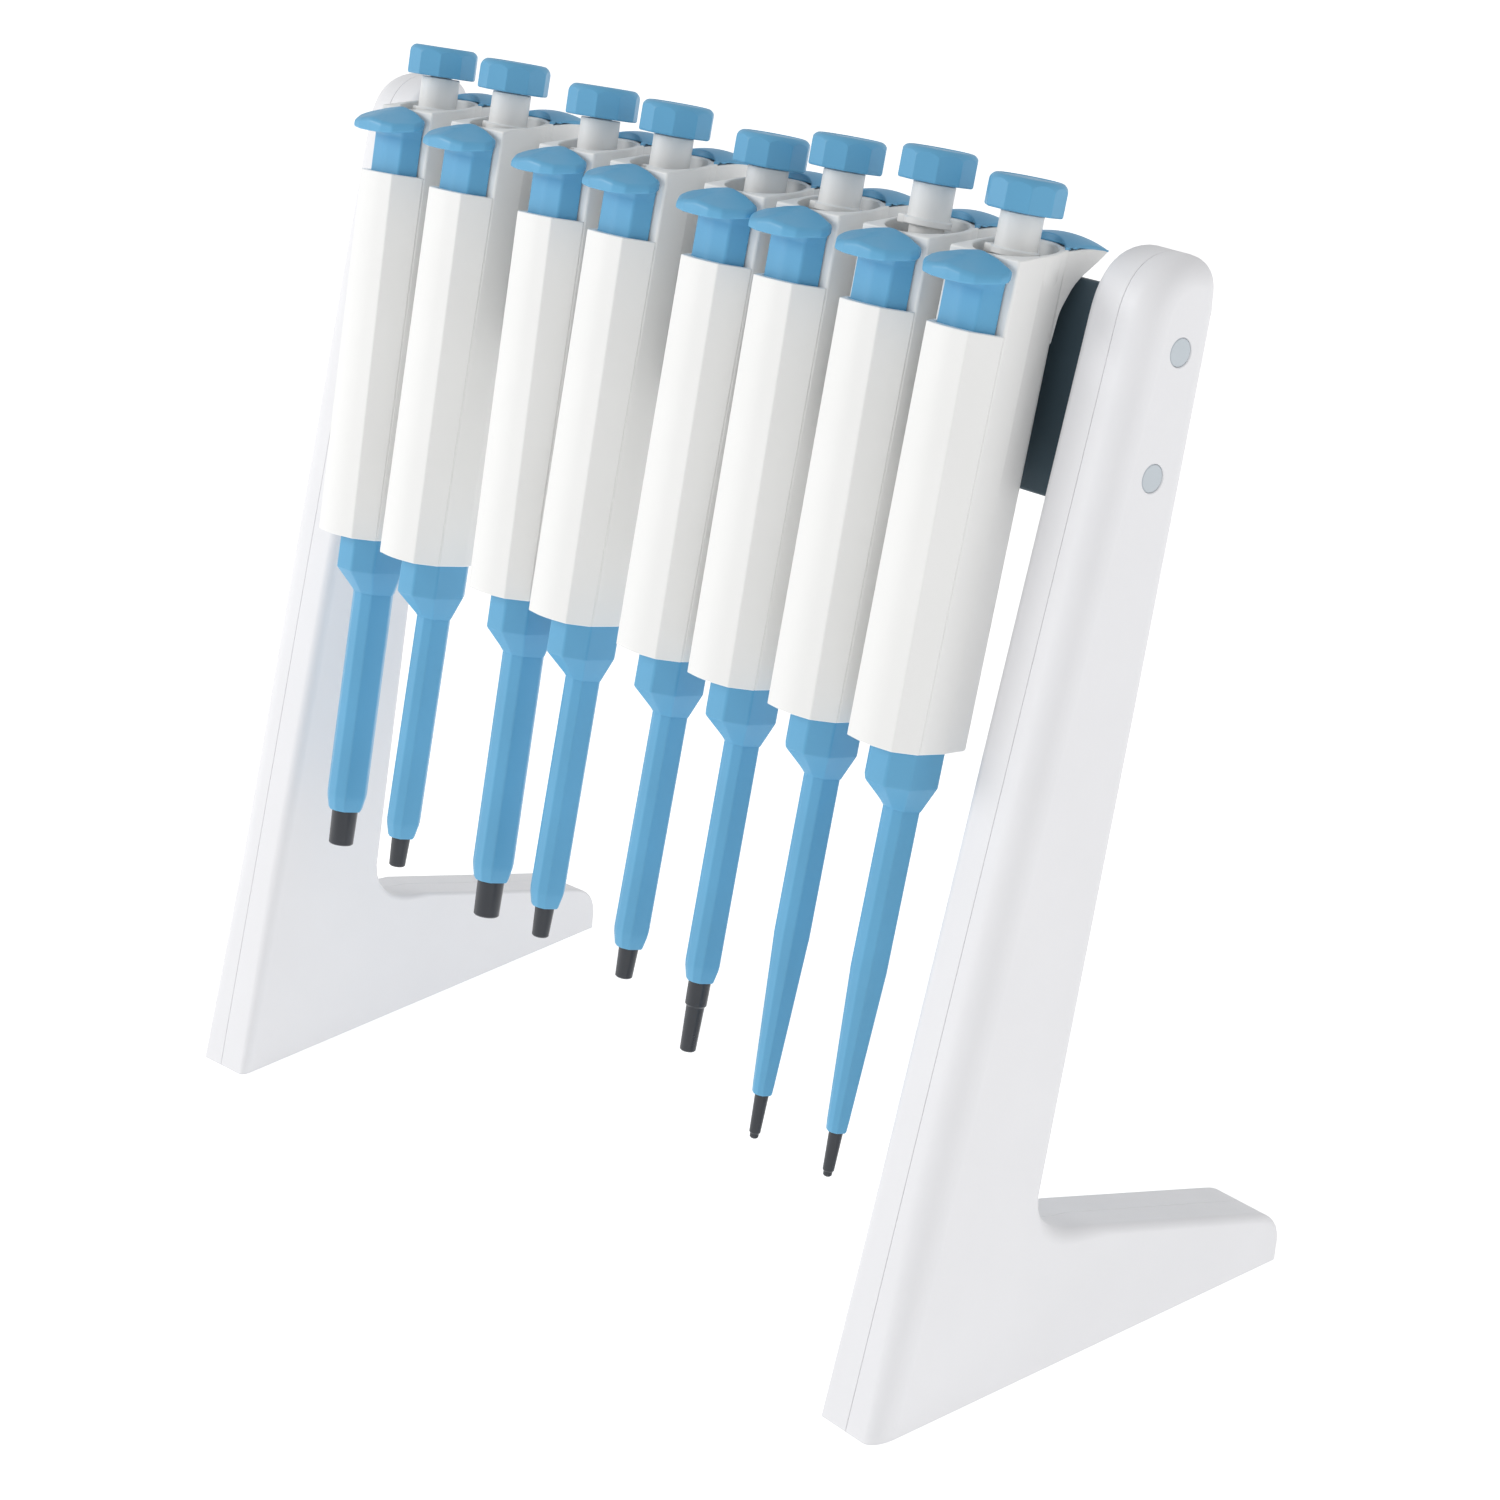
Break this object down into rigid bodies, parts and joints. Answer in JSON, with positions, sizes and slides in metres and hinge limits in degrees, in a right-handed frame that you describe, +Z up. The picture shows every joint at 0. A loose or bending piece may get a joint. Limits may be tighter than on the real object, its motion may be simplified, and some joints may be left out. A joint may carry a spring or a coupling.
{
  "type": "pipette set",
  "caption": "Bench rack with L-shaped legs and a rail, on which adjustable hand pipettes with push-button plungers and tip ejectors hang by their finger hooks.",
  "frame": {"origin": "centre of the bounding box on the surface that the feet stand on", "axes": "+X along the rail to the right-hand leg, -Y the front where the buttons and tips are, +Z up"},
  "size_m": [0.309, 0.1516, 0.3085],
  "materials": {
    "white_plastic": "satin moulded plastic",
    "blue_plastic": "satin moulded plastic",
    "black_plastic": "smooth dark engineering plastic",
    "leg_plastic": "fine matt moulded plastic",
    "rail_paint": "satin slate-grey powder coat",
    "plug_plastic": "matt moulded plastic"
  },
  "bodies": {
    "stand": {"rail": "rail_paint", "left_leg_outer_shell": "leg_plastic", "left_leg_inner_shell": "leg_plastic", "left_screw_plug_1": "plug_plastic", "left_screw_plug_2": "plug_plastic", "right_leg_outer_shell": "leg_plastic", "right_leg_inner_shell": "leg_plastic", "right_screw_plug_1": "plug_plastic", "right_screw_plug_2": "plug_plastic"},
    "pipette_1": {"handle_1": "white_plastic", "tip_cone_1": "black_plastic"},
    "plunger_1": {"plunger_stem_1": "white_plastic"},
    "knob_1": {"volume_knob_1": "blue_plastic"},
    "ejector_1": {"ejector_button_1": "blue_plastic", "ejector_sleeve_1": "blue_plastic"},
    "pipette_2": {"handle_2": "white_plastic", "tip_cone_2": "black_plastic"},
    "plunger_2": {"plunger_stem_2": "white_plastic"},
    "knob_2": {"volume_knob_2": "blue_plastic"},
    "ejector_2": {"ejector_button_2": "blue_plastic", "ejector_sleeve_2": "blue_plastic"},
    "pipette_3": {"handle_3": "white_plastic", "tip_cone_3": "black_plastic"},
    "plunger_3": {"plunger_stem_3": "white_plastic"},
    "knob_3": {"volume_knob_3": "blue_plastic"},
    "ejector_3": {"ejector_button_3": "blue_plastic", "ejector_sleeve_3": "blue_plastic"},
    "pipette_4": {"handle_4": "white_plastic", "tip_cone_4": "black_plastic"},
    "plunger_4": {"plunger_stem_4": "white_plastic"},
    "knob_4": {"volume_knob_4": "blue_plastic"},
    "ejector_4": {"ejector_button_4": "blue_plastic", "ejector_sleeve_4": "blue_plastic"},
    "pipette_5": {"handle_5": "white_plastic", "tip_cone_5": "black_plastic"},
    "plunger_5": {"plunger_stem_5": "white_plastic"},
    "knob_5": {"volume_knob_5": "blue_plastic"},
    "ejector_5": {"ejector_button_5": "blue_plastic", "ejector_sleeve_5": "blue_plastic"},
    "pipette_6": {"handle_6": "white_plastic", "tip_cone_6": "black_plastic"},
    "plunger_6": {"plunger_stem_6": "white_plastic"},
    "knob_6": {"volume_knob_6": "blue_plastic"},
    "ejector_6": {"ejector_button_6": "blue_plastic", "ejector_sleeve_6": "blue_plastic"},
    "pipette_7": {"handle_7": "white_plastic", "tip_cone_7": "black_plastic"},
    "plunger_7": {"plunger_stem_7": "white_plastic"},
    "knob_7": {"volume_knob_7": "blue_plastic"},
    "ejector_7": {"ejector_button_7": "blue_plastic", "ejector_sleeve_7": "blue_plastic"},
    "pipette_8": {"handle_8": "white_plastic", "tip_cone_8": "black_plastic"},
    "plunger_8": {"plunger_stem_8": "white_plastic"},
    "knob_8": {"volume_knob_8": "blue_plastic"},
    "ejector_8": {"ejector_button_8": "blue_plastic", "ejector_sleeve_8": "blue_plastic"}
  },
  "joints": [
    {"name": "lift_off_1", "type": "slide", "parent": "stand", "child": "pipette_1", "axis": [0, -0.5284, 0.849], "range_m": [0, 0.075]},
    {"name": "plunger_press_1", "type": "slide", "parent": "pipette_1", "child": "plunger_1", "axis": [0.0431, -0.2264, -0.9731], "range_m": [0, 0.013], "stiffness_N_per_m": 300, "springref_m": -0.01},
    {"name": "volume_turn_1", "type": "hinge", "parent": "plunger_1", "child": "knob_1", "pos_m": [-0.1094, -0.00751, 0.2707], "axis": [-0.0431, 0.2264, 0.9731], "continuous": true},
    {"name": "ejector_press_1", "type": "slide", "parent": "pipette_1", "child": "ejector_1", "axis": [0.0431, -0.2264, -0.9731], "range_m": [0, 0.008], "stiffness_N_per_m": 400, "springref_m": -0.008},
    {"name": "lift_off_2", "type": "slide", "parent": "stand", "child": "pipette_2", "axis": [0, -0.5284, 0.849], "range_m": [0, 0.075]},
    {"name": "plunger_press_2", "type": "slide", "parent": "pipette_2", "child": "plunger_2", "axis": [0.022, -0.2266, -0.9737], "range_m": [0, 0.013], "stiffness_N_per_m": 300, "springref_m": -0.01},
    {"name": "volume_turn_2", "type": "hinge", "parent": "plunger_2", "child": "knob_2", "pos_m": [-0.0789, -0.00751, 0.2707], "axis": [-0.022, 0.2266, 0.9737], "continuous": true},
    {"name": "ejector_press_2", "type": "slide", "parent": "pipette_2", "child": "ejector_2", "axis": [0.022, -0.2266, -0.9737], "range_m": [0, 0.008], "stiffness_N_per_m": 400, "springref_m": -0.008},
    {"name": "lift_off_3", "type": "slide", "parent": "stand", "child": "pipette_3", "axis": [0, -0.5284, 0.849], "range_m": [0, 0.075]},
    {"name": "plunger_press_3", "type": "slide", "parent": "pipette_3", "child": "plunger_3", "axis": [0.0377, -0.2265, -0.9733], "range_m": [0, 0.013], "stiffness_N_per_m": 300, "springref_m": -0.01},
    {"name": "volume_turn_3", "type": "hinge", "parent": "plunger_3", "child": "knob_3", "pos_m": [-0.0412, -0.00751, 0.2707], "axis": [-0.0377, 0.2265, 0.9733], "continuous": true},
    {"name": "ejector_press_3", "type": "slide", "parent": "pipette_3", "child": "ejector_3", "axis": [0.0377, -0.2265, -0.9733], "range_m": [0, 0.008], "stiffness_N_per_m": 400, "springref_m": -0.008},
    {"name": "lift_off_4", "type": "slide", "parent": "stand", "child": "pipette_4", "axis": [0, -0.5284, 0.849], "range_m": [0, 0.075]},
    {"name": "plunger_press_4", "type": "slide", "parent": "pipette_4", "child": "plunger_4", "axis": [0.0105, -0.2266, -0.9739], "range_m": [0, 0.013], "stiffness_N_per_m": 300, "springref_m": -0.01},
    {"name": "volume_turn_4", "type": "hinge", "parent": "plunger_4", "child": "knob_4", "pos_m": [-0.0128, -0.00751, 0.2707], "axis": [-0.0105, 0.2266, 0.9739], "continuous": true},
    {"name": "ejector_press_4", "type": "slide", "parent": "pipette_4", "child": "ejector_4", "axis": [0.0105, -0.2266, -0.9739], "range_m": [0, 0.008], "stiffness_N_per_m": 400, "springref_m": -0.008},
    {"name": "lift_off_5", "type": "slide", "parent": "stand", "child": "pipette_5", "axis": [0, -0.5284, 0.849], "range_m": [0, 0.075]},
    {"name": "plunger_press_5", "type": "slide", "parent": "pipette_5", "child": "plunger_5", "axis": [0.003, -0.2266, -0.974], "range_m": [0, 0.013], "stiffness_N_per_m": 300, "springref_m": -0.01},
    {"name": "volume_turn_5", "type": "hinge", "parent": "plunger_5", "child": "knob_5", "pos_m": [0.0234, -0.00751, 0.2707], "axis": [-0.003, 0.2266, 0.974], "continuous": true},
    {"name": "ejector_press_5", "type": "slide", "parent": "pipette_5", "child": "ejector_5", "axis": [0.003, -0.2266, -0.974], "range_m": [0, 0.008], "stiffness_N_per_m": 400, "springref_m": -0.008},
    {"name": "lift_off_6", "type": "slide", "parent": "stand", "child": "pipette_6", "axis": [0, -0.5284, 0.849], "range_m": [0, 0.075]},
    {"name": "plunger_press_6", "type": "slide", "parent": "pipette_6", "child": "plunger_6", "axis": [0.0105, -0.2266, -0.9739], "range_m": [0, 0.013], "stiffness_N_per_m": 300, "springref_m": -0.01},
    {"name": "volume_turn_6", "type": "hinge", "parent": "plunger_6", "child": "knob_6", "pos_m": [0.0501, -0.00751, 0.2707], "axis": [-0.0105, 0.2266, 0.9739], "continuous": true},
    {"name": "ejector_press_6", "type": "slide", "parent": "pipette_6", "child": "ejector_6", "axis": [0.0105, -0.2266, -0.9739], "range_m": [0, 0.008], "stiffness_N_per_m": 400, "springref_m": -0.008},
    {"name": "lift_off_7", "type": "slide", "parent": "stand", "child": "pipette_7", "axis": [0, -0.5284, 0.849], "range_m": [0, 0.075]},
    {"name": "plunger_press_7", "type": "slide", "parent": "pipette_7", "child": "plunger_7", "axis": [0.0037, -0.2267, -0.974], "range_m": [0, 0.013], "stiffness_N_per_m": 300, "springref_m": -0.01},
    {"name": "volume_turn_7", "type": "hinge", "parent": "plunger_7", "child": "knob_7", "pos_m": [0.0804, -0.00751, 0.2707], "axis": [-0.0037, 0.2267, 0.974], "continuous": true},
    {"name": "ejector_press_7", "type": "slide", "parent": "pipette_7", "child": "ejector_7", "axis": [0.0037, -0.2267, -0.974], "range_m": [0, 0.008], "stiffness_N_per_m": 400, "springref_m": -0.008},
    {"name": "lift_off_8", "type": "slide", "parent": "stand", "child": "pipette_8", "axis": [0, -0.5284, 0.849], "range_m": [0, 0.075]},
    {"name": "plunger_press_8", "type": "slide", "parent": "pipette_8", "child": "plunger_8", "axis": [-0.0056, -0.2266, -0.974], "range_m": [0, 0.013], "stiffness_N_per_m": 300, "springref_m": -0.01},
    {"name": "volume_turn_8", "type": "hinge", "parent": "plunger_8", "child": "knob_8", "pos_m": [0.1095, -0.00751, 0.2707], "axis": [0.0056, 0.2266, 0.974], "continuous": true},
    {"name": "ejector_press_8", "type": "slide", "parent": "pipette_8", "child": "ejector_8", "axis": [-0.0056, -0.2266, -0.974], "range_m": [0, 0.008], "stiffness_N_per_m": 400, "springref_m": -0.008}
  ]
}
